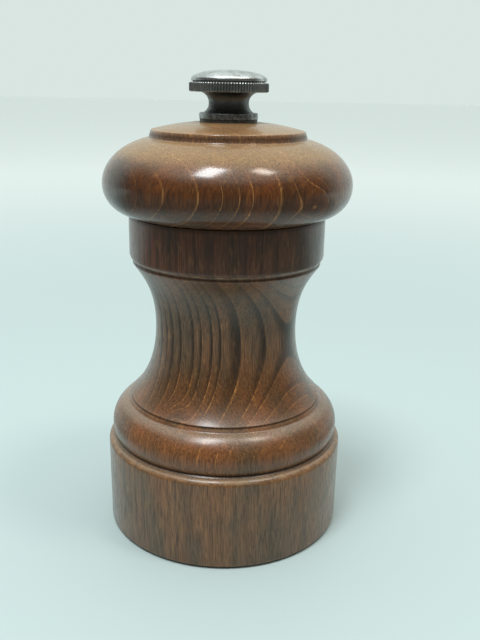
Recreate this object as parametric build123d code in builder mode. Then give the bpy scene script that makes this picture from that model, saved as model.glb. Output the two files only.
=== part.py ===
"""Turned wooden pepper mill with steel burrs, a square shaft and a knurled adjusting knob.

The mill stands on Z = 0 with its axis on the Z axis. The head drives the square shaft through
a steel plate; the shaft turns the inner burr inside a fixed burr ring. The knob is threaded on
the shaft's end: one turn raises the inner burr by one thread pitch, which makes a finer grind.
The assembly is drawn at its coarse setting, with the head closed.
"""

from build123d import *
from math import acos, atan2, cos, degrees, pi, radians, sin, sqrt
import os

os.makedirs("parts", exist_ok=True)

# ---------------- driving dimensions, mm and degrees ----------------
mill_height = 100.0

# body, outside: plinth, bead, waist and collar
plinth_r, plinth_foot_r, plinth_top, plinth_round = 26.6, 26.45, 20.5, 1.4
foot_chamfer = 0.7
quirk_r, quirk_z = 25.0, 20.95  # groove between the plinth and the bead
bead_r, bead_z, bead_arc = 25.6, 23.55, 5.9
shoulder_r, shoulder_z, shoulder_angle = 21.45, 30.1, 42.3
waist_r, waist_z = 15.6, 46.0
cove_r, cove_z, cove_angle = 20.45, 60.4, 54.8
collar_r, collar_z, collar_round = 21.05, 61.2, 1.1
body_top = 70.7

# body, inside, from the floor up: outlet recess, burr seat, chamber, socket
outlet_r, outlet_top = 18.5, 7.0
seat_r, seat_top = 12.0, 21.7
chamber_r, chamber_top = 11.2, 55.5
socket_r, socket_floor = 14.2, 60.5

# head
head_gap = 0.1  # running gap between the head and the body
cap_r, cap_z, cap_lower_arc = 26.4, 77.1, 6.3
cap_ellipse_x, cap_ellipse_z = 14.0, 9.77
crown_r, crown_step, crown_draft = 16.6, 1.6, 0.5
boss_r, boss_z = 6.3, 89.7  # flat on top of the crown for the knob's washer
spigot_r, spigot_floor = 13.9, 62.3
head_bore_r = 3.9
plate_r, plate_t = 10.0, 1.2
plate_screw_x = 7.0

# shaft, and the M5 thread on its upper end
square = 5.0
rivet_r, rivet_z, washer_under_burr = 3.9, 5.2, 0.8
rivet_rim = 0.6
square_top = 88.2
pitch, thread_r, thread_depth, thread_top = 0.8, 2.45, 0.4, 97.0
square_clearance = 0.15  # between the shaft's flats and the drive plate

# burrs
ring_r, ring_top = 12.0, 20.5
tier_z = 12.2  # where the fine lower teeth meet the coarse upper ones
ring_mouth_r, ring_waist_r, ring_throat_r = 10.6, 8.9, 9.6
burr_floor, burr_top = 7.2, 17.2
burr_foot_r, burr_waist_r, burr_top_r = 9.8, 8.2, 6.4
fine_teeth, fine_depth, fine_helix = 30, 0.55, 22.0
coarse_teeth, coarse_flute_r, coarse_helix = 7, 1.7, 32.0

# spring, its washer and the bridge above them
bridge_z, bridge_t, bridge_w = 25.0, 1.2, 7.0
bridge_leg_x, bridge_foot_x = 9.6, 11.4
bridge_hole_r, bridge_eye_r = 3.9, 6.2
spring_mean_r, spring_wire, spring_turns = 4.7, 1.0, 3.5
spring_washer_r, spring_washer_t = 5.6, 0.5

# retaining plate and wood screws
retainer_t, retainer_hole_r, retainer_r = 1.0, 10.9, 13.2
retainer_screws, retainer_screw_r, retainer_ear_r = 3, 14.4, 3.0
screw_head_r, screw_shank_r, screw_core_r = 2.2, 1.15, 0.8
screw_pitch, screw_length = 0.9, 7.0
slot_w, slot_depth = 0.6, 0.5

# knob and its washer
knob_washer_r, knob_washer_t, knob_washer_hole = 6.0, 0.5, 2.9
knob_foot_r, knob_foot_h = 6.1, 1.3
knob_neck_r, knob_neck_z = 4.15, 93.5
knurl_r, knurl_floor, knurl_top, knurl_depth, knurl_count = 8.2, 95.65, 97.5, 0.3, 84
dome_r, dome_groove_r, dome_floor, dome_edge, dome_corner = 7.85, 7.45, 97.85, 0.25, 0.9
knob_bore_r, knob_bore_top = 2.55, 98.5

clear = 0.1  # axial gap between faces that turn on each other


def on_slope(r0, z0, r1, z1, helix):
    """A plane halfway up a cone's side, X outwards, its normal leaning by the helix angle."""
    slope = atan2(r0 - r1, z1 - z0)
    lean = radians(helix)
    outward = (cos(slope), 0, sin(slope))
    along = (-sin(slope) * cos(lean), sin(lean), cos(slope) * cos(lean))
    return Plane(origin=((r0 + r1) / 2, 0, (z0 + z1) / 2), x_dir=outward, z_dir=along)


def export(piece, name):
    """Labels a finished sub-part and writes it as one STEP file."""
    piece.part.label = name
    export_step(piece.part, f"parts/{name}.step")


# ---------------- wooden body ----------------
bead_centre = (bead_r - bead_arc, bead_z)
bead_start = (quirk_r, bead_z - sqrt(bead_arc**2 - (quirk_r - bead_centre[0]) ** 2))
bead_end_r = shoulder_r + 0.45
bead_end = (bead_end_r, bead_z + sqrt(bead_arc**2 - (bead_end_r - bead_centre[0]) ** 2))
shoulder_pull, waist_pull_down, waist_pull_up, cove_pull = 3.0, 9.1, 8.2, 3.6

with BuildPart() as mill_body:
    with BuildSketch(Plane.XZ):
        with BuildLine():
            Polyline(
                (socket_r, body_top),
                (socket_r, socket_floor),
                (chamber_r, chamber_top),
                (chamber_r, seat_top),
                (seat_r, seat_top),
                (seat_r, outlet_top),
                (outlet_r, outlet_top),
                (outlet_r, 0),
                (plinth_foot_r - foot_chamfer, 0),
                (plinth_foot_r, foot_chamfer),
                (plinth_r, plinth_top - plinth_round),
            )
            CenterArc((plinth_r - plinth_round, plinth_top - plinth_round), plinth_round, 0, 90)
            Polyline((plinth_r - plinth_round, plinth_top), (quirk_r - 0.3, quirk_z), bead_start)
            ThreePointArc(bead_start, (bead_r, bead_z), bead_end)
            Polyline(bead_end, (shoulder_r - 0.1, shoulder_z - 0.35), (shoulder_r, shoulder_z))
            Bezier(
                (shoulder_r, shoulder_z),
                (
                    shoulder_r - shoulder_pull * cos(radians(shoulder_angle)),
                    shoulder_z + shoulder_pull * sin(radians(shoulder_angle)),
                ),
                (waist_r, waist_z - waist_pull_down),
                (waist_r, waist_z),
            )
            Bezier(
                (waist_r, waist_z),
                (waist_r, waist_z + waist_pull_up),
                (
                    cove_r - cove_pull * cos(radians(cove_angle)),
                    cove_z - cove_pull * sin(radians(cove_angle)),
                ),
                (cove_r, cove_z),
            )
            Polyline((cove_r, cove_z), (cove_r - 0.1, collar_z - 0.3), (collar_r - 0.6, collar_z))
            ThreePointArc(
                (collar_r - 0.6, collar_z),
                (collar_r - 0.16, collar_z + collar_round * 0.45),
                (collar_r, collar_z + collar_round),
            )
            Polyline(
                (collar_r, collar_z + collar_round),
                (collar_r, body_top),
                (socket_r, body_top),
            )
        make_face()
    revolve(axis=Axis.Z)
    # pilot holes for the retaining plate's screws
    with Locations(Plane.XY.offset(outlet_top)):
        with PolarLocations(retainer_screw_r, retainer_screws):
            Cylinder(
                screw_shank_r,
                screw_length - retainer_t,
                align=(Align.CENTER, Align.CENTER, Align.MIN),
                mode=Mode.SUBTRACT,
            )
export(mill_body, "mill_body")


# ---------------- burr ring, fixed in the body ----------------
with BuildPart() as ring_groove:
    with BuildSketch(on_slope(ring_mouth_r, outlet_top, ring_waist_r, tier_z, -fine_helix)):
        with BuildLine():
            Polyline((fine_depth, 0), (-0.3, -0.75), (-0.3, 0.75), (fine_depth, 0))
        make_face()
    extrude(amount=4.6, both=True)

with BuildPart() as ring_flute:
    with BuildSketch(on_slope(ring_waist_r, tier_z, ring_throat_r, ring_top, -coarse_helix)):
        Circle(coarse_flute_r)
    extrude(amount=5.6, both=True)

with BuildPart() as burr_ring:
    with BuildSketch(Plane.XZ):
        with BuildLine():
            Polyline(
                (ring_mouth_r, outlet_top),
                (ring_r, outlet_top),
                (ring_r, ring_top),
                (ring_throat_r, ring_top),
                (ring_waist_r, tier_z),
                (ring_mouth_r, outlet_top),
            )
        make_face()
    revolve(axis=Axis.Z)
    with PolarLocations(0, fine_teeth):
        add(ring_groove.part, mode=Mode.SUBTRACT)
    with PolarLocations(0, coarse_teeth + 3):
        add(ring_flute.part, mode=Mode.SUBTRACT)
export(burr_ring, "burr_ring")


# ---------------- inner burr, square on the shaft ----------------
with BuildPart() as burr_groove:
    with BuildSketch(on_slope(burr_foot_r, burr_floor, burr_waist_r, tier_z, fine_helix)):
        with BuildLine():
            Polyline((-fine_depth, 0), (0.3, -0.75), (0.3, 0.75), (-fine_depth, 0))
        make_face()
    extrude(amount=4.0, both=True)

with BuildPart() as burr_flute:
    with BuildSketch(on_slope(burr_waist_r, tier_z, burr_top_r, burr_top, coarse_helix)):
        with Locations((0.5, 0)):
            Circle(coarse_flute_r)
    extrude(amount=4.2, both=True)

with BuildPart() as inner_burr:
    with BuildSketch(Plane.XZ):
        with BuildLine():
            Polyline(
                (0, burr_floor),
                (burr_foot_r - 0.4, burr_floor),
                (burr_foot_r, burr_floor + 0.4),
                (burr_waist_r, tier_z),
                (burr_top_r, burr_top),
                (0, burr_top),
                (0, burr_floor),
            )
        make_face()
    revolve(axis=Axis.Z)
    with PolarLocations(0, fine_teeth + 2):
        add(burr_groove.part, mode=Mode.SUBTRACT)
    with PolarLocations(0, coarse_teeth):
        add(burr_flute.part, mode=Mode.SUBTRACT)
    with BuildSketch(Plane.XY.offset(burr_floor)):
        Rectangle(square, square)
    extrude(amount=burr_top - burr_floor, mode=Mode.SUBTRACT)
export(inner_burr, "inner_burr")


# ---------------- shaft ----------------
rivet_top = burr_floor - washer_under_burr
thread_floor = square_top + 0.6
thread_turns = int((thread_top - thread_floor - pitch) / pitch)

with BuildPart() as shaft:
    # peened end under the burr
    with BuildSketch(Plane.XZ):
        with BuildLine():
            ThreePointArc(
                (0, rivet_z),
                (rivet_r * 0.62, rivet_z + 0.18),
                (rivet_r, rivet_top - rivet_rim),
            )
            Polyline((rivet_r, rivet_top - rivet_rim), (rivet_r, rivet_top), (0, rivet_top), (0, rivet_z))
        make_face()
    revolve(axis=Axis.Z)
    with BuildSketch(Plane.XY.offset(rivet_top)):
        Rectangle(square, square)
    extrude(amount=square_top - rivet_top)
    # thread, drawn as rings at its pitch
    with BuildSketch(Plane.XZ):
        with BuildLine():
            points = [(0, square_top), (thread_r - thread_depth, square_top)]
            for turn in range(thread_turns):
                z = thread_floor + turn * pitch
                points.append((thread_r - thread_depth, z))
                points.append((thread_r, z + 0.35 * pitch))
                points.append((thread_r, z + 0.5 * pitch))
                points.append((thread_r - thread_depth, z + 0.85 * pitch))
            points.append((thread_r - thread_depth, thread_top))
            points.append((0, thread_top))
            Polyline(*points, close=True)
        make_face()
    revolve(axis=Axis.Z)
export(shaft, "shaft")

with BuildPart() as burr_washer:
    with BuildSketch(Plane.XY.offset(rivet_top)):
        Circle(rivet_r + 0.9)
        Circle(square / sqrt(2) + 0.02, mode=Mode.SUBTRACT)
    extrude(amount=washer_under_burr)
export(burr_washer, "burr_washer")


# ---------------- spring, its washer and the bridge ----------------
spring_washer_z = bridge_z - clear - spring_washer_t
with BuildPart() as spring_washer:
    with BuildSketch(Plane.XY.offset(spring_washer_z)):
        Circle(spring_washer_r)
        Circle(bridge_hole_r, mode=Mode.SUBTRACT)
    extrude(amount=spring_washer_t)
export(spring_washer, "spring_washer")

coil_floor = burr_top + clear + spring_wire / 2
coil_height = spring_washer_z - spring_wire / 2 - coil_floor
with BuildPart() as spring:
    with BuildLine(Plane.XY.offset(coil_floor)):
        coil = Helix(pitch=coil_height / spring_turns, height=coil_height, radius=spring_mean_r)
    with BuildSketch(Plane(origin=coil @ 0, z_dir=coil % 0)):
        Circle(spring_wire / 2)
    sweep(path=coil)
export(spring, "spring")

with BuildPart() as bridge:
    with BuildSketch(Plane.XZ):
        with BuildLine():
            leg_in = bridge_leg_x - bridge_t
            Polyline(
                (0, bridge_z),
                (leg_in, bridge_z),
                (leg_in, ring_top),
                (bridge_foot_x, ring_top),
                (bridge_foot_x, ring_top + bridge_t),
                (bridge_leg_x, ring_top + bridge_t),
                (bridge_leg_x, bridge_z + bridge_t),
                (0, bridge_z + bridge_t),
                (0, bridge_z),
            )
        make_face()
    extrude(amount=bridge_w / 2, both=True)
    mirror(about=Plane.YZ)
    top_bends = bridge.edges().filter_by(Axis.Y).group_by(Axis.Z)[-1]
    fillet(top_bends, bridge_t * 0.8)
    # the crossbar widens to an eye round the shaft
    with BuildSketch(Plane.XY.offset(bridge_z)):
        Circle(bridge_eye_r)
    extrude(amount=bridge_t)
    with Locations((0, 0, bridge_z)):
        Cylinder(bridge_hole_r, 4 * bridge_t, mode=Mode.SUBTRACT)
export(bridge, "bridge")


# ---------------- retaining plate and screws ----------------
with BuildPart() as retaining_plate:
    with BuildSketch(Plane.XY.offset(outlet_top - retainer_t)):
        with PolarLocations(retainer_screw_r, retainer_screws):
            Circle(retainer_ear_r)
        make_hull()
        Circle(retainer_r)
        Circle(retainer_hole_r, mode=Mode.SUBTRACT)
    extrude(amount=retainer_t)
    with Locations(Plane.XY.offset(outlet_top - retainer_t)):
        with PolarLocations(retainer_screw_r, retainer_screws):
            Cone(
                screw_head_r,
                screw_shank_r,
                retainer_t,
                align=(Align.CENTER, Align.CENTER, Align.MIN),
                mode=Mode.SUBTRACT,
            )
export(retaining_plate, "retaining_plate")


def wood_screw(head_t):
    """A slotted countersunk wood screw, its head's face at the origin and its point up."""
    turns = int((screw_length - head_t - 2.2) / screw_pitch)
    with BuildPart(mode=Mode.PRIVATE) as screw:
        with BuildSketch(Plane.XZ):
            with BuildLine():
                points = [(0, 0), (screw_head_r, 0), (screw_shank_r, head_t)]
                points.append((screw_shank_r, head_t + 0.6))
                for turn in range(turns):
                    z = head_t + 0.8 + turn * screw_pitch
                    points.append((screw_core_r, z))
                    points.append((screw_shank_r, z + 0.55 * screw_pitch))
                points.append((screw_core_r, screw_length - 1.2))
                points.append((0, screw_length - 0.1))
                Polyline(*points, close=True)
            make_face()
        revolve(axis=Axis.Z)
        Box(2.5 * screw_head_r, slot_w, 2 * slot_depth, mode=Mode.SUBTRACT)
    return screw.part


with BuildPart() as retaining_screws:
    with Locations(Plane.XY.offset(outlet_top - retainer_t)):
        with PolarLocations(retainer_screw_r, retainer_screws):
            add(wood_screw(retainer_t))
export(retaining_screws, "retaining_screws")


# ---------------- wooden head ----------------
head_floor = body_top + head_gap
cap_centre = (cap_r - cap_ellipse_x, cap_z)
crown_angle = degrees(acos((crown_r - cap_centre[0]) / cap_ellipse_x))
crown_floor = cap_z + cap_ellipse_z * sin(radians(crown_angle))
crown_top = crown_floor + crown_step
under_r = cap_r - cap_lower_arc

with BuildPart() as head:
    with BuildSketch(Plane.XZ):
        with BuildLine():
            Polyline(
                (head_bore_r, boss_z),
                (head_bore_r, spigot_floor + plate_t),
                (plate_r, spigot_floor + plate_t),
                (plate_r, spigot_floor),
                (spigot_r - 0.4, spigot_floor),
                (spigot_r, spigot_floor + 0.4),
                (spigot_r, head_floor),
                (under_r, head_floor),
            )
            ThreePointArc(
                (under_r, head_floor),
                (under_r + (cap_r - under_r) * sin(pi / 4), cap_z - (cap_z - head_floor) * cos(pi / 4)),
                (cap_r, cap_z),
            )
            EllipticalCenterArc(cap_centre, cap_ellipse_x, cap_ellipse_z, arc_size=crown_angle)
            Polyline((crown_r, crown_floor), (crown_r - crown_draft, crown_top))
            ThreePointArc(
                (crown_r - crown_draft, crown_top),
                ((crown_r + boss_r) / 2, (crown_top + boss_z) / 2 + 0.25),
                (boss_r, boss_z),
            )
            Line((boss_r, boss_z), (head_bore_r, boss_z))
        make_face()
    revolve(axis=Axis.Z)
    with Locations(Plane.XY.offset(spigot_floor + plate_t)):
        with GridLocations(2 * plate_screw_x, 0, 2, 1):
            Cylinder(
                screw_shank_r,
                screw_length - plate_t,
                align=(Align.CENTER, Align.CENTER, Align.MIN),
                mode=Mode.SUBTRACT,
            )
export(head, "head")

with BuildPart() as drive_plate:
    with BuildSketch(Plane.XY.offset(spigot_floor)):
        Circle(plate_r)
        Rectangle(square + 2 * square_clearance, square + 2 * square_clearance, mode=Mode.SUBTRACT)
    extrude(amount=plate_t)
    with Locations(Plane.XY.offset(spigot_floor)):
        with GridLocations(2 * plate_screw_x, 0, 2, 1):
            Cone(
                screw_head_r,
                screw_shank_r,
                plate_t,
                align=(Align.CENTER, Align.CENTER, Align.MIN),
                mode=Mode.SUBTRACT,
            )
export(drive_plate, "drive_plate")

with BuildPart() as drive_plate_screws:
    with Locations(Plane.XY.offset(spigot_floor)):
        with GridLocations(2 * plate_screw_x, 0, 2, 1):
            add(wood_screw(plate_t))
export(drive_plate_screws, "drive_plate_screws")


# ---------------- knob and its washer ----------------
with BuildPart() as knob_washer:
    with BuildSketch(Plane.XY.offset(boss_z)):
        Circle(knob_washer_r)
        Circle(knob_washer_hole, mode=Mode.SUBTRACT)
    extrude(amount=knob_washer_t)
export(knob_washer, "knob_washer")

knob_floor = boss_z + knob_washer_t
knob_foot_top = knob_floor + knob_foot_h
flare_low_r, flare_high_r = 5.3, 5.9
dome_h = mill_height - dome_floor - dome_edge
corner_x = dome_r - dome_corner
dome_cap_r = (corner_x**2 + dome_h**2 - dome_corner**2) / (2 * (dome_h - dome_corner))
dome_angle = degrees(atan2(dome_cap_r - dome_h, corner_x))

with BuildPart() as knob:
    with BuildSketch(Plane.XZ):
        with BuildLine():
            Polyline(
                (0, knob_bore_top),
                (knob_bore_r, knob_bore_top),
                (knob_bore_r, knob_floor),
                (knob_foot_r - 0.15, knob_floor),
                (knob_foot_r, knob_floor + 0.15),
                (knob_foot_r, knob_foot_top - 0.15),
                (knob_foot_r - 0.15, knob_foot_top),
                (flare_low_r, knob_foot_top),
            )
            Bezier(
                (flare_low_r, knob_foot_top),
                (knob_neck_r, knob_foot_top + 0.7),
                (knob_neck_r, knob_neck_z - 0.5),
                (knob_neck_r, knob_neck_z),
            )
            Bezier(
                (knob_neck_r, knob_neck_z),
                (knob_neck_r, knob_neck_z + 1.0),
                (knob_neck_r + 0.6, knurl_floor - 0.4),
                (flare_high_r, knurl_floor),
            )
            Polyline(
                (flare_high_r, knurl_floor),
                (dome_groove_r, knurl_floor),
                (dome_groove_r, dome_floor - 0.15),
                (dome_r, dome_floor),
                (dome_r, dome_floor + dome_edge),
            )
            CenterArc((corner_x, dome_floor + dome_edge), dome_corner, 0, dome_angle)
            CenterArc((0, mill_height - dome_cap_r), dome_cap_r, dome_angle, 90 - dome_angle)
            Line((0, mill_height), (0, knob_bore_top))
        make_face()
    revolve(axis=Axis.Z)
    # straight knurls round the rim
    with BuildSketch(Plane.XY.offset(knurl_floor)):
        with BuildLine():
            rim = []
            for i in range(2 * knurl_count):
                r, turn = knurl_r - knurl_depth * (i % 2), i * pi / knurl_count
                rim.append((r * cos(turn), r * sin(turn)))
            Polyline(*rim, close=True)
        make_face()
        Circle(knurl_r - 1.5, mode=Mode.SUBTRACT)
    extrude(amount=knurl_top - knurl_floor)
export(knob, "knob")
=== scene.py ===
import bpy
import bmesh
from math import acos, cos, degrees, hypot, pi, radians, sin
from mathutils import Matrix, Vector
from types import SimpleNamespace as Named


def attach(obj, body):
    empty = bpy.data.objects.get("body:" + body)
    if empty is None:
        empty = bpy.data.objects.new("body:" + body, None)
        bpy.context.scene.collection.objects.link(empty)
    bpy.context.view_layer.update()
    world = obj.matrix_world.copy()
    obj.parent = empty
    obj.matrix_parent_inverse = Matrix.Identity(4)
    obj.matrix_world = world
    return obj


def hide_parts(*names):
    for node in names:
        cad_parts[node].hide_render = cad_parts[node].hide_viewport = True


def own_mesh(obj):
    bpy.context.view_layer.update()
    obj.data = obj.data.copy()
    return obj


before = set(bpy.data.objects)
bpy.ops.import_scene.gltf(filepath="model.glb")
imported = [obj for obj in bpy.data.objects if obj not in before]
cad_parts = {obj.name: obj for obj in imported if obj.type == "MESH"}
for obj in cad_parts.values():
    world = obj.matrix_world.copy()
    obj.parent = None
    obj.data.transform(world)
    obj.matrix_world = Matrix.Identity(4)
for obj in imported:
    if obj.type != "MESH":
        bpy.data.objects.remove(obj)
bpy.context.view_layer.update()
mm = 0.001

bpy.context.scene.view_settings.view_transform = "Standard"


def addObject(name, data):
    made = bpy.data.objects.new(name, data)
    bpy.context.scene.collection.objects.link(made)
    return made


# the camera is the first thing made

cameraSetup = {
    "place": (3.16, -164.35, 97.71),  # mm from the middle of the foot
    "down": 17.27,
    "roll": 1.09,
    "lens": 43.13,
    "sensor": 36.0,
    "near": 0.01,
    "far": 20.0,
}


def makeCamera(setup):
    data = bpy.data.cameras.new("camera")
    data.lens = setup.lens
    data.sensor_width = setup.sensor
    data.clip_start = setup.near
    data.clip_end = setup.far
    camera = addObject("camera", data)
    camera.matrix_world = (
        Matrix.Translation(Vector(setup.place) * mm)
        @ Matrix.Rotation(radians(90 - setup.down), 4, "X")
        @ Matrix.Rotation(radians(setup.roll), 4, "Z")
    )
    bpy.context.scene.camera = camera


makeCamera(Named(**cameraSetup))
print("stage: camera")


# small helpers for node trees, used for shaders and for geometry

def feed(tree, socket, value):
    # a socket gets either a link or a constant; a bare colour gets its alpha here
    if isinstance(value, bpy.types.NodeSocket):
        tree.links.new(value, socket)
    elif socket.type == "RGBA":
        socket.default_value = (*value, 1.0)
    else:
        socket.default_value = value


def addNode(tree, kind, inputs=None, **settings):
    node = tree.nodes.new(kind)
    for name, value in settings.items():
        setattr(node, name, value)
    for key, value in (inputs or {}).items():
        feed(tree, node.inputs[key], value)
    return node


def connect(tree, inputs, made):
    for label, value in made.items():
        tree.links.new(value, inputs[label])


def treeOf(values):
    # the tree that the first socket among the values is in
    return next(value.id_data for value in values if isinstance(value, bpy.types.NodeSocket))


def calc(operation, *values):
    node = addNode(treeOf(values), "ShaderNodeMath", dict(enumerate(values)), operation=operation)
    return node.outputs[0]


def fold(operation, values, clamp):
    # takes any number of values from left to right
    total = values[0]
    for value in values[1:]:
        total = calc(operation, total, value)
    total.node.use_clamp = clamp
    return total


def times(*values, clamp=False):
    return fold("MULTIPLY", values, clamp)


def plus(*values, clamp=False):
    return fold("ADD", values, clamp)


def minus(*values, clamp=False):
    return fold("SUBTRACT", values, clamp)


def over(*values, clamp=False):
    return fold("DIVIDE", values, clamp)


def vectorMath(operation, *values, output=0):
    node = addNode(treeOf(values), "ShaderNodeVectorMath", dict(enumerate(values)), operation=operation)
    return node.outputs[output]


def split(vector):
    return addNode(vector.id_data, "ShaderNodeSeparateXYZ", {0: vector}).outputs


def join(*parts):
    return addNode(treeOf(parts), "ShaderNodeCombineXYZ", dict(enumerate(parts))).outputs[0]


def mapRange(value, low, high, toLow=0.0, toHigh=1.0, smooth=True):
    inputs = {"Value": value, "From Min": low, "From Max": high, "To Min": toLow, "To Max": toHigh}
    kind = "SMOOTHSTEP" if smooth else "LINEAR"
    return addNode(value.id_data, "ShaderNodeMapRange", inputs, interpolation_type=kind).outputs[0]


def mixColor(factor, first, second):
    inputs = {0: factor, 6: first, 7: second}
    return addNode(factor.id_data, "ShaderNodeMix", inputs, data_type="RGBA").outputs[2]


def noise(vector, scale=1.0, detail=2.0, rough=0.5, color=False):
    inputs = {"Vector": vector, "Scale": scale, "Detail": detail, "Roughness": rough}
    return addNode(vector.id_data, "ShaderNodeTexNoise", inputs).outputs["Color" if color else "Fac"]


def lineNoise(value, detail):
    inputs = {"W": value, "Scale": 1.0, "Detail": detail}
    return addNode(value.id_data, "ShaderNodeTexNoise", inputs, noise_dimensions="1D").outputs["Fac"]


def newGroup(name, kind, inputs, outputs):
    tree = bpy.data.node_groups.new(name, kind)
    for label, socketType, value in inputs:
        socket = tree.interface.new_socket(label, in_out="INPUT", socket_type="NodeSocket" + socketType)
        if value is not None:
            socket.default_value = value
    for label, socketType in outputs:
        tree.interface.new_socket(label, in_out="OUTPUT", socket_type="NodeSocket" + socketType)
    source = tree.nodes.new("NodeGroupInput")
    target = tree.nodes.new("NodeGroupOutput")
    return tree, source.outputs, target.inputs


def useGroup(tree, group, inputs, output=0):
    node = addNode(tree, "ShaderNodeGroup", inputs, node_tree=group)
    return node.outputs if output is None else node.outputs[output]


# shader groups: each is an effect that several materials share

woodGrain = {
    "driftScale": (0.05, 0.05, 0.022),
    "ringNoise": 0.17,
    "ringUneven": 1.2,
    # the parts of a year at which its dark wood and its pale line start, are full and end
    "lateStart": (0.42, 0.80),
    "lateEnd": (0.88, 0.94),
    "lineStart": (0.89, 0.94),
    "lineEnd": (0.965, 1.0),
    "poreStretch": 0.065,
    "pores": (0.50, 0.64),
    "fibreScale": (3.4, 3.4, 0.14),
    "rayScale": (150.0, 0.3, 0.30),
    "rays": (0.60, 0.72),
    "cloudScale": (0.16, 0.16, 0.05),
    "clouds": (0.32, 0.68),
}


def makeSolidWood(grain):
    # grain runs along Z and the tree's pith is the Z axis of the incoming vector, in mm
    tree, given, out = newGroup(
        "solid wood", "ShaderNodeTree",
        [("Vector", "Vector", None), ("Push", "Float", 0.0), ("Ring Gap", "Float", 2.6),
         ("Wander", "Float", 3.0), ("Pore Width", "Float", 0.35)],
        [("Late", "Float"), ("Line", "Float"), ("Pores", "Float"), ("Fibre", "Float"),
         ("Flecks", "Float"), ("Clouds", "Float")],
    )
    vector = given["Vector"]
    slow = vectorMath("MULTIPLY", vector, grain.driftScale)
    drift = vectorMath("SUBTRACT", noise(slow, detail=1.5, color=True), (0.5, 0.5, 0.5))
    drift = addNode(tree, "ShaderNodeVectorMath", {0: drift, "Scale": given["Wander"]},
                    operation="SCALE").outputs[0]
    x, y, z = split(vectorMath("ADD", vector, drift))
    distance = calc("SQRT", plus(times(x, x), times(y, y)))
    distance = plus(distance, given["Push"])
    uneven = lineNoise(times(distance, grain.ringNoise), 1.0)
    years = plus(over(distance, given["Ring Gap"]), times(uneven, grain.ringUneven))
    year = calc("FRACT", years)
    late = minus(mapRange(year, *grain.lateStart), mapRange(year, *grain.lateEnd))
    line = minus(mapRange(year, *grain.lineStart), mapRange(year, *grain.lineEnd))
    # pores are thin and long, so the vector is squeezed across the grain
    width = over(1.0, given["Pore Width"])
    across = join(width, width, times(width, grain.poreStretch))
    poreNoise = noise(vectorMath("MULTIPLY", vector, across), detail=2.0, rough=0.6)
    fibreSpace = vectorMath("MULTIPLY", vector, grain.fibreScale)
    # rays are thin sheets that stand radially, so they are drawn in angle, distance and height
    turn, reach, tall = grain.rayScale
    raySpace = join(times(calc("ARCTAN2", y, x), turn), times(distance, reach),
                    times(z, tall))
    cloudSpace = vectorMath("MULTIPLY", vector, grain.cloudScale)
    connect(tree, out, {
        "Late": late,
        "Line": line,
        "Pores": mapRange(poreNoise, *grain.pores),
        "Fibre": noise(fibreSpace, detail=3.0, rough=0.7),
        "Flecks": mapRange(noise(raySpace, detail=1.0), *grain.rays),
        "Clouds": mapRange(noise(cloudSpace, detail=3.0, rough=0.6), *grain.clouds),
    })
    return tree


def makePinKnot():
    # a small knot that swells the year rings round it
    tree, given, out = newGroup(
        "pin knot", "ShaderNodeTree",
        [("Vector", "Vector", None), ("Place", "Vector", None), ("Size", "Float", 3.0)],
        [("Swell", "Float")],
    )
    away = vectorMath("SUBTRACT", given["Vector"], given["Place"])
    share = over(vectorMath("LENGTH", away, output="Value"), given["Size"])
    tree.links.new(calc("EXPONENT", times(share, share, -0.5)), out["Swell"])
    return tree


def makeHeightBand():
    # a soft band round a turned piece at one height
    tree, given, out = newGroup(
        "height band", "ShaderNodeTree",
        [("Height", "Float", None), ("Centre", "Float", 0.0), ("Half Width", "Float", 1.0)],
        [("Mask", "Float")],
    )
    away = calc("ABSOLUTE", minus(given["Height"], given["Centre"]))
    share = over(away, given["Half Width"])
    tree.links.new(mapRange(share, 0.0, 1.0, 1.0, 0.0), out["Mask"])
    return tree


def makeWearBreakup(low=0.38, high=0.62):
    # breaks a clean mask into rubbed patches, nicks and specks
    tree, given, out = newGroup(
        "wear breakup", "ShaderNodeTree",
        [("Vector", "Vector", None), ("Mask", "Float", 0.0), ("Patch Size", "Float", 2.0)],
        [("Mask", "Float")],
    )
    patches = noise(given["Vector"], over(1.0, given["Patch Size"]), detail=4.0, rough=0.65)
    broken = times(given["Mask"], mapRange(patches, low, high), clamp=True)
    tree.links.new(broken, out["Mask"])
    return tree


def makeTurnedLines(climb=1.37):
    # fine rings that a lathe tool leaves, from the distance to the Z axis and the height
    tree, given, out = newGroup(
        "turned lines", "ShaderNodeTree",
        [("Vector", "Vector", None), ("Line Gap", "Float", 0.12)],
        [("Lines", "Float"), ("Radius", "Float"), ("Height", "Float")],
    )
    x, y, z = split(given["Vector"])
    radius = calc("SQRT", plus(times(x, x), times(y, y)))
    along = plus(radius, times(z, climb))
    lines = lineNoise(over(along, given["Line Gap"]), 2.0)
    connect(tree, out, {"Lines": lines, "Radius": radius, "Height": z})
    return tree


solidWood = makeSolidWood(Named(**woodGrain))
pinKnot = makePinKnot()
heightBand = makeHeightBand()
wearBreakup = makeWearBreakup()
turnedLines = makeTurnedLines()
print("stage: shader groups")


# materials

def newMaterial(name, base, **sockets):
    material = bpy.data.materials.new(name)
    material.use_nodes = True
    tree = material.node_tree
    shader = tree.nodes["Principled BSDF"]
    feed(tree, shader.inputs["Base Color"], base)
    for label, value in sockets.items():
        shader.inputs[label].default_value = value
    place = addNode(tree, "ShaderNodeTexCoord").outputs["Object"]
    inMm = vectorMath("MULTIPLY", place, (1 / mm, 1 / mm, 1 / mm))
    return material, tree, shader, inMm


def addBump(tree, shader, height, depthInMm):
    bump = addNode(tree, "ShaderNodeBump", {"Height": height, "Strength": 1.0, "Distance": depthInMm * mm})
    tree.links.new(bump.outputs[0], shader.inputs["Normal"])


def bandsAt(tree, height, bands):
    # the sum of several height bands, each (height, half width, strength)
    total = 0.0
    for centre, half, strength in bands:
        mask = useGroup(tree, heightBand, {"Height": height, "Centre": centre, "Half Width": half})
        total = plus(total, times(mask, strength), clamp=True)
    return total


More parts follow.
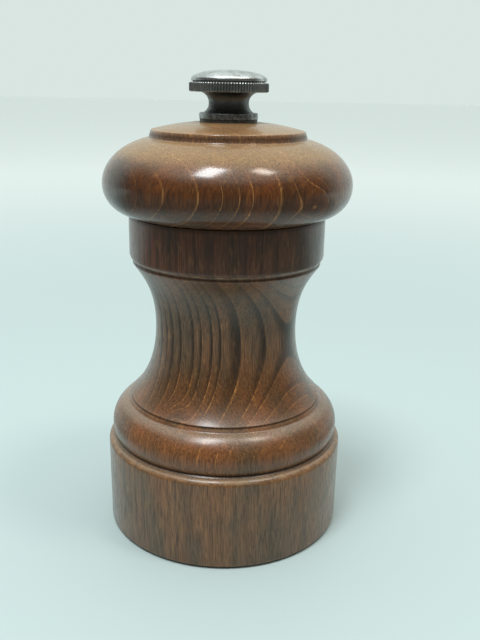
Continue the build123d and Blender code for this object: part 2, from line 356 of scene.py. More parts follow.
bodyWood = {
    "pith": (-60.6, 35.0, 0.0),  # mm, where the tree's pith stood beside the mill
    "lean": (1.0, 1.0, 0.0),
    "ringGap": 2.15,
    "wander": 1.6,
    "poreWidth": 0.22,
    "sheen": 0.26,
    # mean colour at each height in mm, from the foot up; the dark tints from 62 mm up are partly the collar's
    # own darker wood, partly painted shade under the head
    "tints": [(0.0, (0.158, 0.086, 0.041)), (20.0, (0.178, 0.092, 0.041)), (23.0, (0.168, 0.073, 0.028)),
              (31.0, (0.168, 0.073, 0.029)), (36.0, (0.148, 0.064, 0.023)), (46.0, (0.172, 0.094, 0.048)),
              (58.0, (0.124, 0.064, 0.030)), (60.5, (0.130, 0.056, 0.025)), (62.0, (0.088, 0.034, 0.014)),
              (70.0, (0.076, 0.029, 0.012))],
    "dark": (0.016, 0.009, 0.0045),
    "figure": [(23.0, 8.0, 0.10), (47.0, 21.0, 0.85), (10.0, 16.0, 0.25), (66.0, 8.0, 0.55)],
    "line": (0.34, 0.150, 0.040),  # added to the colour under it
    "lines": [(46.0, 20.0, 0.28), (34.5, 6.5, 1.1), (26.0, 4.0, 0.4)],
    "stains": [((-18.0, -10.5, 66.5), 4.5, (0.150, 0.036, 0.018))],  # place, size in mm, colour
    "fleckAmount": 0.12,
    # tint and strength of the lightening on upward faces: partly fading, partly painted sheen
    "faded": (0.33, 0.250, 0.175),
    "fade": 0.45,
    "dulling": 0.0,
    "worn": (0.33, 0.205, 0.110),
    "wear": [(20.05, 0.55, 0.9), (61.35, 0.28, 1.0), (29.6, 0.35, 0.35), (0.5, 0.8, 0.5)],
    # darker bands at the grooves, under the collar and at the top under the head
    "dirt": [(20.98, 0.75, 0.95), (30.0, 0.28, 0.9), (60.75, 0.45, 0.8), (70.4, 0.8, 0.6)],
    "knots": [((-11.5, -18.5, 30.5), 2.4, 4.5, 0.3)],  # place, size and push in mm, and darkness
}

headWood = {
    "pith": (59.5, 37.0, 0.0),
    "lean": (1.0, -2.0, 0.0),
    "ringGap": 2.7,
    "wander": 2.2,
    "poreWidth": 0.22,
    "sheen": 0.17,
    # the lighter tints from 84 mm up are partly faded wood, partly painted sheen on the upward faces
    "tints": [(70.0, (0.088, 0.038, 0.016)), (75.0, (0.088, 0.029, 0.008)), (80.0, (0.112, 0.038, 0.011)),
              (84.0, (0.200, 0.100, 0.045)), (86.4, (0.150, 0.080, 0.045)), (88.2, (0.26, 0.140, 0.070))],
    "dark": (0.016, 0.008, 0.0045),
    "figure": [(76.0, 7.0, 0.30)],
    "line": (0.34, 0.165, 0.050),  # added to the colour under it
    "lines": [(76.0, 10.0, 0.85), (88.0, 6.0, 0.35)],
    # a painted reflection of the dark knob on the front of the crown's top
    "stains": [((0.5, -14.0, 90.5), 4.2, (0.175, 0.080, 0.032))],
    "fleckAmount": 0.10,
    # tint and strength of the lightening on upward faces: partly fading, partly painted sheen
    "faded": (0.285, 0.168, 0.068),
    "fade": 0.9,
    "dulling": 0.3,
    "worn": (0.45, 0.27, 0.14),
    "wear": [(88.15, 0.25, 0.35), (71.0, 0.4, 0.3)],
    # darker bands at the crown's step and round the boss under the knob
    "dirt": [(87.2, 0.85, 0.75), (89.7, 0.25, 0.5)],
    "knots": [((-21.5, -15.5, 77.0), 5.0, 2.6, 1.2), ((19.0, -18.0, 75.0), 4.0, 6.5, 0.0)],
}


woodFinish = {
    "specular": 0.12,
    "cloudLow": (0.78, 0.88, 0.98),
    "cloudHigh": (1.30, 1.10, 0.95),
    "knotShade": 0.7,
    "faceUp": (0.64, 0.87),  # upward part of the normal at which the fading and painted sheen start and are full
    "stainCover": 0.8,
    "stainSaves": 0.75,  # share of the fading and painted sheen that a stain or painted reflection keeps off
    # share of the grain figure hidden under the fading and painted sheen
    "hazeHides": 0.8,
    "lineClouds": (0.15, 0.75, 0.45, 1.0),
    "lineFibres": (0.36, 0.60, 0.35, 1.1),
    "alongRing": (-0.97, -0.55, 0.18, 1.0),
    "fibreShade": (0.28, 0.72, 0.60, 1.40),
    "poreShade": 0.46,
    # share of the pores' darkness lost under the fading and painted sheen
    "poreFades": 0.36,
    "dirtShade": 0.8,
    "wearShade": 0.75,
    "wearPatch": 2.2,
    "rubScale": 0.12,
    "rubbed": (0.3, 0.7, 0.28, 0.44),
    "poreRough": 0.25,
    "lacquer": 0.9,
    "lacquerLost": 0.6,  # where it is fully worn or in the darker bands
    "toolGap": 0.35,
    "fibreRelief": 0.6,
    "toolRelief": 0.25,
    "depth": 0.028,
}


def tintAt(tree, height, tints):
    # a ramp from the lowest tint's height to the highest one's
    low, high = tints[0][0], tints[-1][0]
    ramp = addNode(tree, "ShaderNodeValToRGB", {0: mapRange(height, low, high, smooth=False)})
    stops = ramp.color_ramp.elements
    for level, tint in tints[1:-1]:
        stops.new((level - low) / (high - low))
    for stop, (level, tint) in zip(stops, tints):
        stop.color = (*tint, 1.0)
    return ramp.outputs[0]


def tone(value):
    return join(value, value, value)


def makeStainedWood(name, look, finish):
    material, tree, shader, inMm = newMaterial(name, look.worn, **{
        "IOR": 1.5, "Specular IOR Level": finish.specular, "Coat Roughness": look.sheen,
        "Coat IOR": 1.5})
    place = vectorMath("SUBTRACT", inMm, look.pith)
    lean = [radians(a) for a in look.lean]
    place = addNode(tree, "ShaderNodeMapping", {"Vector": place, "Rotation": lean}).outputs[0]
    push, shade = 0.0, 0.0
    for spot, size, depth, darkness in look.knots:
        knot = useGroup(tree, pinKnot, {"Vector": inMm, "Place": spot, "Size": size})
        push = plus(push, times(knot, depth))
        shade = plus(shade, times(knot, darkness))
    wood = useGroup(tree, solidWood, {"Vector": place, "Ring Gap": look.ringGap, "Push": push,
                    "Wander": look.wander, "Pore Width": look.poreWidth}, output=None)
    height = split(inMm)[2]
    color = tintAt(tree, height, look.tints)
    clouds = mixColor(wood["Clouds"], finish.cloudLow, finish.cloudHigh)
    color = vectorMath("MULTIPLY", color, clouds)
    color = mixColor(times(shade, finish.knotShade, clamp=True), color, look.dark)
    # surfaces that look up are painted lighter: partly faded wood with a haze of fine scratches, partly
    # painted sheen; less so under a stain or a painted reflection
    facing = addNode(tree, "ShaderNodeTexCoord").outputs["Normal"]
    fadeSheenMask = times(mapRange(split(facing)[2], *finish.faceUp), look.fade)
    # each patch is a real stain on the body and a painted reflection of the knob on the head
    for spot, size, tint in look.stains:
        stainOrReflection = useGroup(tree, pinKnot, {"Vector": inMm, "Place": spot, "Size": size})
        color = mixColor(times(stainOrReflection, finish.stainCover), color, tint)
        fadeSheenMask = times(fadeSheenMask, minus(1.0, times(stainOrReflection, finish.stainSaves)))
    color = mixColor(fadeSheenMask, color, look.faded)
    figure = times(bandsAt(tree, height, look.figure),
                   minus(1.0, times(fadeSheenMask, finish.hazeHides)))
    color = mixColor(times(wood["Late"], figure), color, look.dark)
    # where the surface lies along a ring its pale line breaks up into fine dashes
    outward = Vector(look.pith).normalized()
    along = vectorMath("DOT_PRODUCT", facing, outward, output="Value")
    lines = times(wood["Line"], bandsAt(tree, height, look.lines),
                  mapRange(wood["Clouds"], *finish.lineClouds),
                  mapRange(wood["Fibre"], *finish.lineFibres),
                  mapRange(along, *finish.alongRing))
    pale = tone(plus(lines, times(wood["Flecks"], look.fleckAmount)))
    color = vectorMath("ADD", color, vectorMath("MULTIPLY", pale, look.line))
    fibres = mapRange(wood["Fibre"], *finish.fibreShade, smooth=False)
    color = vectorMath("MULTIPLY", color, tone(fibres))
    poreShare = minus(finish.poreShade, times(fadeSheenMask, finish.poreFades))
    color = mixColor(times(wood["Pores"], poreShare), color, look.dark)
    # darker in bands at the grooves and under the edges
    dirt = bandsAt(tree, height, look.dirt)
    color = mixColor(times(dirt, finish.dirtShade), color, look.dark)
    wear = useGroup(tree, wearBreakup, {"Vector": inMm, "Mask": bandsAt(tree, height, look.wear),
                                        "Patch Size": finish.wearPatch})
    color = mixColor(times(wear, finish.wearShade), color, look.worn)
    rubbed = noise(inMm, finish.rubScale, detail=4.0, rough=0.6)
    rough = plus(mapRange(rubbed, *finish.rubbed),
                 times(wood["Pores"], finish.poreRough))
    lost = plus(times(wear, finish.lacquerLost), times(dirt, finish.lacquerLost),
                times(fadeSheenMask, look.dulling))
    lacquer = minus(finish.lacquer, lost, clamp=True)
    connect(tree, shader.inputs, {"Base Color": color, "Roughness": rough, "Coat Weight": lacquer})
    tool = useGroup(tree, turnedLines, {"Vector": inMm, "Line Gap": finish.toolGap})
    relief = plus(times(wood["Pores"], -1.0), times(wood["Fibre"], finish.fibreRelief),
                  times(tool, finish.toolRelief))
    addBump(tree, shader, relief, finish.depth)
    return material


rawLook = {
    "base": (0.30, 0.19, 0.10), "rough": 0.8, "ringGap": 2.5, "wander": 5.0, "poreWidth": 0.34,
    "early": (0.24, 0.145, 0.075), "late": (0.36, 0.235, 0.13),
    "pores": (0.10, 0.06, 0.035), "poreShade": 0.5,
    "dust": (0.07, 0.055, 0.04), "dustShade": 0.45, "dustSize": 0.5,
    "depth": 0.04,
}


def makeRawWood(name, look):
    # unlacquered wood inside the mill, rubbed with pepper dust
    material, tree, shader, inMm = newMaterial(name, look.base, Roughness=look.rough)
    place = vectorMath("SUBTRACT", inMm, bodyWood["pith"])
    wood = useGroup(tree, solidWood, {"Vector": place, "Ring Gap": look.ringGap, "Wander": look.wander,
                                      "Pore Width": look.poreWidth}, output=None)
    color = mixColor(wood["Clouds"], look.early, look.late)
    color = mixColor(times(wood["Pores"], look.poreShade), color, look.pores)
    dust = useGroup(tree, wearBreakup, {"Vector": inMm, "Mask": 1.0, "Patch Size": look.dustSize})
    color = mixColor(times(dust, look.dustShade), color, look.dust)
    tree.links.new(color, shader.inputs["Base Color"])
    addBump(tree, shader, minus(wood["Fibre"], wood["Pores"]), look.depth)
    return material


steelFinish = {
    "patches": (0.35, 0.65),
    "patchRough": 0.14,
    "speckSize": 0.3,  # as a share of a patch
    "grime": (0.035, 0.028, 0.022),
    "grimeRough": 0.5,
    "grimeCover": 0.7,
}


def makeSteel(name, bright, dull, rough, grime, lineGap, patch, relief):
    # turned or drawn metal: bright base, dull patches, grime in specks, fine tool lines
    finish = Named(**steelFinish)
    material, tree, shader, inMm = newMaterial(name, bright, Metallic=1.0)
    patches = mapRange(noise(inMm, 1.0 / patch, detail=4.0, rough=0.6), *finish.patches)
    specks = useGroup(tree, wearBreakup, {"Vector": inMm, "Mask": 1.0,
                                          "Patch Size": patch * finish.speckSize})
    color = mixColor(patches, bright, dull)
    color = mixColor(times(specks, grime), color, finish.grime)
    roughness = plus(mapRange(patches, 0.0, 1.0, rough, rough + finish.patchRough),
                     times(specks, grime * finish.grimeRough))
    metal = minus(1.0, times(specks, grime * finish.grimeCover))
    connect(tree, shader.inputs, {"Base Color": color, "Roughness": roughness, "Metallic": metal})
    lines = useGroup(tree, turnedLines, {"Vector": inMm, "Line Gap": lineGap})
    addBump(tree, shader, lines, relief)
    return material


steels = {
    # bright and dull colour, roughness, grime, then tool line gap, patch size and relief in mm
    "shaftSteel": ((0.56, 0.55, 0.53), (0.40, 0.39, 0.37), 0.28, 0.25, 0.30, 3.0, 0.006),
    "zincPlate": ((0.62, 0.62, 0.60), (0.44, 0.44, 0.43), 0.36, 0.35, 0.22, 4.0, 0.006),
    "burrSteel": ((0.36, 0.35, 0.34), (0.22, 0.21, 0.20), 0.34, 0.55, 0.18, 1.6, 0.010),
    "springSteel": ((0.42, 0.42, 0.43), (0.30, 0.30, 0.31), 0.30, 0.20, 0.15, 2.5, 0.004),
    "washerSteel": ((0.16, 0.155, 0.15), (0.09, 0.088, 0.085), 0.34, 0.45, 0.15, 1.2, 0.006),
    "screwSteel": ((0.50, 0.49, 0.46), (0.36, 0.34, 0.31), 0.34, 0.35, 0.12, 1.2, 0.006),
}

knobLook = {
    "bright": (0.70, 0.73, 0.72),
    "dull": (0.42, 0.44, 0.43),
    "patina": (0.120, 0.128, 0.130),
    "patinaCover": 0.93,
    "lineGap": 0.10,
    "patchScale": 0.55,
    "patches": (0.40, 0.62),
    "crest": 8.06,  # mm, radius at which a knurl's crest is rubbed bright
    "valley": 7.84,
    "crestRubbed": 0.7,
    "neckTop": (95.5, 95.7),
    "foot": (91.6, 91.2),
    "chipSize": 1.1,
    "chipRubbed": 0.55,
    "groove": (97.9, 97.45),
    "pitSize": 0.35,
    "pits": (0.10, 0.09, 0.08),
    "pitShade": 0.22,
    "rough": (0.26, 0.40),
    "patinaRough": 0.10,
    "lineRelief": 0.6,
    "pitRelief": 0.5,
    "depth": 0.012,
}


def makeKnobSteel(name, look):
    material, tree, shader, inMm = newMaterial(name, look.bright, Metallic=1.0)
    lines, radius, height = useGroup(tree, turnedLines, {"Vector": inMm, "Line Gap": look.lineGap},
                                     output=None)
    spots = noise(inMm, look.patchScale, detail=5.0, rough=0.65)
    patches = mapRange(spots, *look.patches)
    color = mixColor(patches, look.bright, look.dull)
    # everything below the dome has kept its dark patina, apart from rubbed crests and the foot's edge
    below = mapRange(height, *look.groove)
    rubbed = times(mapRange(radius, look.valley, look.crest),
                   mapRange(height, *look.neckTop))
    onFoot = mapRange(height, *look.foot)
    chips = useGroup(tree, wearBreakup, {"Vector": inMm, "Mask": onFoot, "Patch Size": look.chipSize})
    rubbed = plus(times(rubbed, look.crestRubbed),
                  times(chips, look.chipRubbed), clamp=True)
    patina = times(below, minus(1.0, rubbed))
    color = mixColor(times(patina, look.patinaCover), color, look.patina)
    pits = useGroup(tree, wearBreakup, {"Vector": inMm, "Mask": 1.0, "Patch Size": look.pitSize})
    color = mixColor(times(pits, look.pitShade), color, look.pits)
    rough = plus(mapRange(patches, 0.0, 1.0, *look.rough),
                 times(patina, look.patinaRough))
    connect(tree, shader.inputs, {"Base Color": color, "Roughness": rough})
    relief = minus(times(lines, look.lineRelief), times(pits, look.pitRelief))
    addBump(tree, shader, relief, look.depth)
    return material


bodyOutside = makeStainedWood("stainedBody", Named(**bodyWood), Named(**woodFinish))
headOutside = makeStainedWood("stainedHead", Named(**headWood), Named(**woodFinish))
rawWood = makeRawWood("rawWood", Named(**rawLook))
knobSteel = makeKnobSteel("knobSteel", Named(**knobLook))
steel = {name: makeSteel(name, *look) for name, look in steels.items()}
print("stage: materials")


# geometry node trees

def fromMiddle(phase):
    # 0 in the middle of a cycle and 1 at its ends
    return calc("ABSOLUTE", minus(times(phase, 2.0), 1.0))


def makeRound(angle, radius, height):
    return join(times(calc("COSINE", angle), radius),
                times(calc("SINE", angle), radius), height)


def shape(tree, kind, inputs=None, **settings):
    # a geometry node of which only the first output is used
    return addNode(tree, "GeometryNode" + kind, inputs, **settings).outputs[0]


def closeTree(tree, given, out, geometry):
    real = shape(tree, "RealizeInstances", {"Geometry": geometry})
    painted = shape(tree, "SetMaterial", {"Geometry": real, "Material": given["Material"]})
    tree.links.new(painted, out["Geometry"])
    return tree


def makeLatheTree(mergeGap=1e-6, threadFlanks=(0.12, 0.86)):
    # turns an outline round Z. Attributes on the outline's points say where it is knurled, threaded or square
    tree, given, out = newGroup(
        "lathe", "GeometryNodeTree",
        [("Outline", "Geometry", None), ("Segments", "Int", 128),
         ("Knurls", "Float", 0.0), ("Knurl Depth", "Float", 0.0),
         ("Thread Pitch", "Float", 1.0), ("Square Half", "Float", 1.0),
         ("Corner Radius", "Float", 1.0), ("Crease", "Float", 0.6), ("Material", "Material", None)],
        [("Geometry", "Geometry")],
    )
    outline = given["Outline"]
    count = shape(tree, "AttributeDomainSize", {0: outline})
    columns = plus(given["Segments"], 1.0)
    grid = shape(tree, "MeshGrid", {"Size X": 1.0, "Size Y": 1.0, "Vertices X": count, "Vertices Y": columns})
    index = shape(tree, "InputIndex")
    row = calc("FLOOR", over(plus(index, 0.5), columns))
    turn = over(minus(index, times(row, columns)), given["Segments"])
    angle = times(turn, 2 * pi)

    def onOutline(value, kind):
        inputs = {"Geometry": outline, "Value": value, "Index": row}
        return shape(tree, "SampleIndex", inputs, data_type=kind, domain="POINT")

    def named(label):
        return onOutline(shape(tree, "InputNamedAttribute", {"Name": label}, data_type="FLOAT"), "FLOAT")

    point = onOutline(shape(tree, "InputPosition"), "FLOAT_VECTOR")
    radius, _, height = split(point)
    # knurls are V grooves that run along the axis
    knurlPhase = calc("FRACT", times(turn, given["Knurls"]))
    knurlDrop = times(minus(1.0, fromMiddle(knurlPhase)), given["Knurl Depth"],
                      named("knurl"))
    # the thread is a trapezoid wave that climbs one pitch a turn
    threadPhase = calc("FRACT", minus(over(height, given["Thread Pitch"]), turn))
    threadDrop = times(mapRange(fromMiddle(threadPhase), *threadFlanks, smooth=False),
                       named("thread"))
    # a square bar has its flats where the larger of |cos| and |sin| puts them
    larger = calc("MAXIMUM", calc("ABSOLUTE", calc("COSINE", angle)),
                  calc("ABSOLUTE", calc("SINE", angle)))
    square = calc("MINIMUM", over(given["Square Half"], larger), given["Corner Radius"])
    isSquare = named("square")
    turned = minus(radius, knurlDrop, threadDrop)
    radius = plus(times(turned, minus(1.0, isSquare)), times(square, isSquare))
    place = makeRound(angle, radius, height)
    moved = shape(tree, "SetPosition", {"Geometry": grid, "Position": place})
    merged = shape(tree, "MergeByDistance", {"Geometry": moved, "Distance": mergeGap})
    smooth = shape(tree, "SetShadeSmooth", {"Geometry": merged, "Shade Smooth": True})
    bend = shape(tree, "InputMeshEdgeAngle")
    sharp = addNode(tree, "FunctionNodeCompare", {0: bend, 1: given["Crease"]},
                    data_type="FLOAT", operation="GREATER_THAN").outputs[0]
    creased = shape(tree, "SetShadeSmooth",
                    {"Geometry": smooth, "Selection": sharp, "Shade Smooth": False}, domain="EDGE")
    return closeTree(tree, given, out, creased)


def makeScrewTree(cutterLength=0.02, turnEach=1.9):
    # cuts the slot in a turned screw and sets one at each point of a circle
    tree, given, out = newGroup(
        "slotted screws", "GeometryNodeTree",
        [("Screw", "Geometry", None), ("Count", "Int", 3), ("Circle Radius", "Float", 0.014),
         ("Height", "Float", 0.006), ("Slot Width", "Float", 0.0006), ("Slot Depth", "Float", 0.0005),
         ("Slot Turn", "Float", 0.4), ("Material", "Material", None)],
        [("Geometry", "Geometry")],
    )
    size = join(cutterLength, given["Slot Width"], times(given["Slot Depth"], 2.0))
    cutter = shape(tree, "MeshCube", {"Size": size})
    cut = shape(tree, "MeshBoolean", {0: given["Screw"], 1: cutter}, operation="DIFFERENCE", solver="EXACT")
    circle = shape(tree, "MeshCircle", {"Vertices": given["Count"], "Radius": given["Circle Radius"]})
    lift = join(0.0, 0.0, given["Height"])
    places = shape(tree, "SetPosition", {"Geometry": circle, "Offset": lift})
    number = shape(tree, "InputIndex")
    spin = join(0.0, 0.0, plus(times(number, turnEach), given["Slot Turn"]))
    screws = shape(tree, "InstanceOnPoints", {"Points": places, "Instance": cut, "Rotation": spin})
    return closeTree(tree, given, out, screws)


def makeCoilTree(stack=1.04, wireRadius=0.499, wireSides=14):
    # a compression spring with closed ends: the first and last turns lie flat against their neighbours
    tree, given, out = newGroup(
        "coil", "GeometryNodeTree",
        [("Path", "Geometry", None), ("Radius", "Float", 0.0047), ("Wire", "Float", 0.001),
         ("Turns", "Float", 4.5), ("Closed Turns", "Float", 1.0), ("Bottom", "Float", 0.0),
         ("Top", "Float", 0.01), ("Material", "Material", None)],
        [("Geometry", "Geometry")],
    )
    share = addNode(tree, "GeometryNodeSplineParameter").outputs["Factor"]
    turn = times(share, given["Turns"])
    closed = given["Closed Turns"]
    step = times(given["Wire"], stack)
    flat = times(calc("MINIMUM", turn, closed), step)
    last = minus(given["Turns"], closed)
    flatTop = times(calc("MAXIMUM", minus(turn, last), 0.0), step)
    rest = minus(minus(given["Top"], given["Bottom"]),
                 plus(given["Wire"], times(closed, step, 2.0)))
    middle = over(minus(turn, closed), minus(last, closed), clamp=True)
    rise = plus(flat, flatTop, times(middle, rest))
    height = plus(plus(given["Bottom"], times(given["Wire"], 0.5)), rise)
    place = makeRound(times(turn, 2 * pi), given["Radius"], height)
    wound = shape(tree, "SetPosition", {"Geometry": given["Path"], "Position": place})
    section = shape(tree, "CurvePrimitiveCircle",
                    {"Resolution": wireSides, "Radius": times(given["Wire"], wireRadius)})
    wire = shape(tree, "CurveToMesh", {"Curve": wound, "Profile Curve": section, "Fill Caps": True})
    smooth = shape(tree, "SetShadeSmooth", {"Geometry": wire, "Shade Smooth": True})
    return closeTree(tree, given, out, smooth)


latheTree = makeLatheTree()
screwTree = makeScrewTree()
coilTree = makeCoilTree()
print("stage: geometry trees")


def runTree(source, tree, inputs):
    # runs a tree on an object, and returns the result as a plain mesh
    modifier = source.modifiers.new("build", "NODES")
    modifier.node_group = tree
    for item in tree.interface.items_tree:
        if item.item_type == "SOCKET" and item.in_out == "INPUT" and item.name in inputs:
            modifier[item.identifier] = inputs[item.name]
    bpy.context.view_layer.update()
    seen = source.evaluated_get(bpy.context.evaluated_depsgraph_get())
    mesh = bpy.data.meshes.new_from_object(seen)
    source.modifiers.remove(modifier)
    bpy.data.objects.remove(source)
    return mesh


def faceOutward(mesh):
    work = bmesh.new()
    work.from_mesh(mesh)
    bmesh.ops.recalc_face_normals(work, faces=work.faces)
    work.to_mesh(mesh)
    work.free()


def paintInside(piece, material, isInside):
    piece.data.materials.append(material)
    for face in piece.data.polygons:
        c = face.center / mm
        if isInside(hypot(c.x, c.y), c.z):
            face.material_index = len(piece.data.materials) - 1


def addPiece(mesh, name, body, node, isInside=None):
    faceOutward(mesh)
    piece = addObject(name, mesh)
    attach(piece, body)
    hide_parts(node)
    if isInside:
        paintInside(piece, rawWood, isInside)
    return piece


# outlines, in mm: radius and height

def arcPoints(centre, radius, start, end, count):
    return [(centre[0] + radius * cos(radians(start + (end - start) * i / count)),
             centre[1] + radius * sin(radians(start + (end - start) * i / count)))
            for i in range(count + 1)]


def curvePoints(a, b, c, d, count):
    points = []
    for i in range(count + 1):
        t = i / count
        w = ((1 - t) ** 3, 3 * t * (1 - t) ** 2, 3 * t * t * (1 - t), t ** 3)
        points.append((w[0] * a[0] + w[1] * b[0] + w[2] * c[0] + w[3] * d[0],
                       w[0] * a[1] + w[1] * b[1] + w[2] * c[1] + w[3] * d[1]))
    return points


def easeCorners(points, ease, sharpest=20.0):
    # rounds each corner sharper than the limit, so that it catches light as a real edge does
    eased = []
    total = len(points)
    for i, p in enumerate(points):
        before, after = points[i - 1], points[(i + 1) % total]
        a = Vector((before[0] - p[0], before[1] - p[1]))
        b = Vector((after[0] - p[0], after[1] - p[1]))
        turn = 180 - degrees(a.angle(b))
        if turn < sharpest:
            eased.append(p)
            continue
        reach = min(ease, 0.45 * a.length, 0.45 * b.length)
        start = Vector(p) + a.normalized() * reach
        end = Vector(p) + b.normalized() * reach
        for t in (0.0, 0.25, 0.5, 0.75, 1.0):
            q = start * (1 - t) ** 2 + Vector(p) * 2 * t * (1 - t) + end * t * t
            eased.append((q.x, q.y))
    return eased


def outlineObject(points, closed=False, **marks):
    # a wire of points with a float attribute for each mark, which is a function of radius and height
    mesh = bpy.data.meshes.new("outline")
    ring = points + points[:1] if closed else points
    mesh.from_pydata([(r * mm, 0, z * mm) for r, z in ring], [(i, i + 1) for i in range(len(ring) - 1)], [])
    for label in ("knurl", "thread", "square"):
        attribute = mesh.attributes.new(label, "FLOAT", "POINT")
        rule = marks.get(label)
        for i, (r, z) in enumerate(ring):
            attribute.data[i].value = rule(r, z) if rule else 0.0
    return addObject("outline", mesh)


# the body: plinth, bead, waist and collar, hollow inside

bodyPlan = {
    "plinthR": 26.6, "plinthFootR": 26.45, "plinthTop": 20.5, "plinthRound": 1.4, "footChamfer": 0.7,
    "quirkR": 25.0, "quirkZ": 20.95, "quirkIn": 0.3,
    "beadR": 25.6, "beadZ": 23.55, "beadArc": 5.9, "beadOver": 0.45,
    "shoulderR": 21.45, "shoulderZ": 30.1, "shoulderPull": 3.0, "shoulderAngle": 42.3,
    "grooveIn": 0.1, "grooveDown": 0.35,
    "waistR": 15.6, "waistZ": 46.0, "waistDown": 9.1, "waistUp": 8.2,
    "coveR": 20.45, "coveZ": 60.4, "covePull": 3.6, "coveAngle": 54.8,
    "collarR": 21.05, "collarZ": 61.2, "collarRound": 1.1, "collarFoot": 0.6, "collarBelly": (0.16, 0.45),
    "stepIn": 0.1, "stepDown": 0.3, "top": 70.7,
    "inside": [(14.2, 70.7), (14.2, 60.5), (11.2, 55.5), (11.2, 21.7), (12.0, 21.7), (12.0, 7.0),
               (18.5, 7.0), (18.5, 0.0)],
    "insideR": 14.25, "recessR": 18.55, "recess": (0.05, 7.05),  # just past the bore and the recess
    "ease": 0.16,
    "segments": 256,
}


def bodyOutline(p):
    beadMid = (p.beadR - p.beadArc, p.beadZ)
    beadEndR = p.shoulderR + p.beadOver
    low = -degrees(acos((p.quirkR - beadMid[0]) / p.beadArc))
    high = degrees(acos((beadEndR - beadMid[0]) / p.beadArc))
    shoulder = radians(p.shoulderAngle)
    cove = radians(p.coveAngle)
    points = [(p.plinthFootR - p.footChamfer, 0.0), (p.plinthFootR, p.footChamfer)]
    points += arcPoints((p.plinthR - p.plinthRound, p.plinthTop - p.plinthRound),
                        p.plinthRound, 0, 90, 10)
    points += [(p.quirkR - p.quirkIn, p.quirkZ)]
    points += arcPoints(beadMid, p.beadArc, low, high, 30)
    points += [(p.shoulderR - p.grooveIn, p.shoulderZ - p.grooveDown)]
    points += curvePoints((p.shoulderR, p.shoulderZ),
                          (p.shoulderR - p.shoulderPull * cos(shoulder),
                           p.shoulderZ + p.shoulderPull * sin(shoulder)),
                          (p.waistR, p.waistZ - p.waistDown), (p.waistR, p.waistZ), 30)
    points += curvePoints((p.waistR, p.waistZ), (p.waistR, p.waistZ + p.waistUp),
                          (p.coveR - p.covePull * cos(cove), p.coveZ - p.covePull * sin(cove)),
                          (p.coveR, p.coveZ), 26)[1:]
    bellyIn, bellyUp = p.collarBelly
    points += [(p.coveR - p.stepIn, p.collarZ - p.stepDown),
               (p.collarR - p.collarFoot, p.collarZ),
               (p.collarR - bellyIn, p.collarZ + p.collarRound * bellyUp),
               (p.collarR, p.collarZ + p.collarRound), (p.collarR, p.top)]
    return easeCorners(points + p.inside, p.ease)


def makeBody(p):
    source = outlineObject(bodyOutline(p), closed=True)
    mesh = runTree(source, latheTree, {"Segments": p.segments, "Material": bodyOutside})
    low, high = p.recess
    addPiece(mesh, "turned_body", "body", "mill_body",
             lambda r, z: r < p.insideR or (r < p.recessR and low < z < high))


makeBody(Named(**bodyPlan))
print("stage: body")


# the head: rounded, with a raised crown and a spigot that centres it in the body

headPlan = {
    "capR": 26.4, "capZ": 77.1, "lowerArc": 6.3, "ellipseX": 14.0, "ellipseZ": 9.77,
    "crownR": 16.6, "crownStep": 1.6, "crownDraft": 0.5, "crownSwell": 0.25,
    "cove": 0.35, "coveLean": 0.3, "bossR": 6.3, "bossZ": 89.7, "floor": 70.8,
    "inside": [(3.9, 89.7), (3.9, 63.5), (10.0, 63.5), (10.0, 62.3), (13.5, 62.3), (13.9, 62.7),
               (13.9, 70.8)],
    "boreR": 3.95, "spigotR": 13.95, "spigotTop": 70.75,  # just past the bore and the spigot
    "ease": 0.16,
    "segments": 256,
}


def headOutline(p):
    underR = p.capR - p.lowerArc
    centreX = p.capR - p.ellipseX
    crownAngle = acos((p.crownR - centreX) / p.ellipseX)
    crownFloor = p.capZ + p.ellipseZ * sin(crownAngle)
    crownTop = crownFloor + p.crownStep
    crownEdge = p.crownR - p.crownDraft
    points = [(underR + (p.capR - underR) * sin(t), p.capZ - (p.capZ - p.floor) * cos(t))
              for t in (radians(90 * i / 20) for i in range(20))]
    points += [(centreX + p.ellipseX * cos(t), p.capZ + p.ellipseZ * sin(t))
               for t in (crownAngle * i / 32 for i in range(32))]
    corner = (p.crownR, crownFloor)
    lean = p.coveLean * p.cove
    points += curvePoints((p.crownR + p.cove, crownFloor - lean), corner, corner,
                          (p.crownR - lean, crownFloor + p.cove), 6)
    points += [(crownEdge, crownTop)]
    # the crown rises in a flat curve to the boss under the knob
    for i in range(1, 13):
        t = i / 12
        points.append((crownEdge + (p.bossR - crownEdge) * t,
                       crownTop + (p.bossZ - crownTop) * t + p.crownSwell * 4 * t * (1 - t)))
    return easeCorners(points + p.inside, p.ease)


def makeHead(p):
    source = outlineObject(headOutline(p), closed=True)
    mesh = runTree(source, latheTree, {"Segments": p.segments, "Material": headOutside})
    addPiece(mesh, "turned_head", "head", "head",
             lambda r, z: r < p.boreR or (r < p.spigotR and z < p.spigotTop))


makeHead(Named(**headPlan))
print("stage: head")


# the knob: foot, waisted neck, knurled rim and dome

knobPlan = {
    "floor": 90.2, "footR": 6.1, "footTop": 91.5, "footEdge": 0.15, "flareLow": 5.3, "flareHigh": 5.9,
    # how far each pull of the two curves that meet at the neck reaches
    "neckR": 4.15, "neckZ": 93.5, "footPull": 0.7, "neckPulls": (0.5, 1.0), "flarePull": (0.6, 0.4),
    "rimR": 8.2, "rimFloor": 95.65, "rimTop": 97.5, "rimEdge": 0.16, "rimChamfer": 0.256,
    "knurls": 84.0, "knurlDepth": 0.3, "lip": 0.15,
    "grooveR": 7.45, "domeR": 7.85, "domeFloor": 97.85, "domeEdge": 0.25, "top": 100.0,
    "boreR": 2.55, "boreTop": 98.5,
    "segments": 504,
}


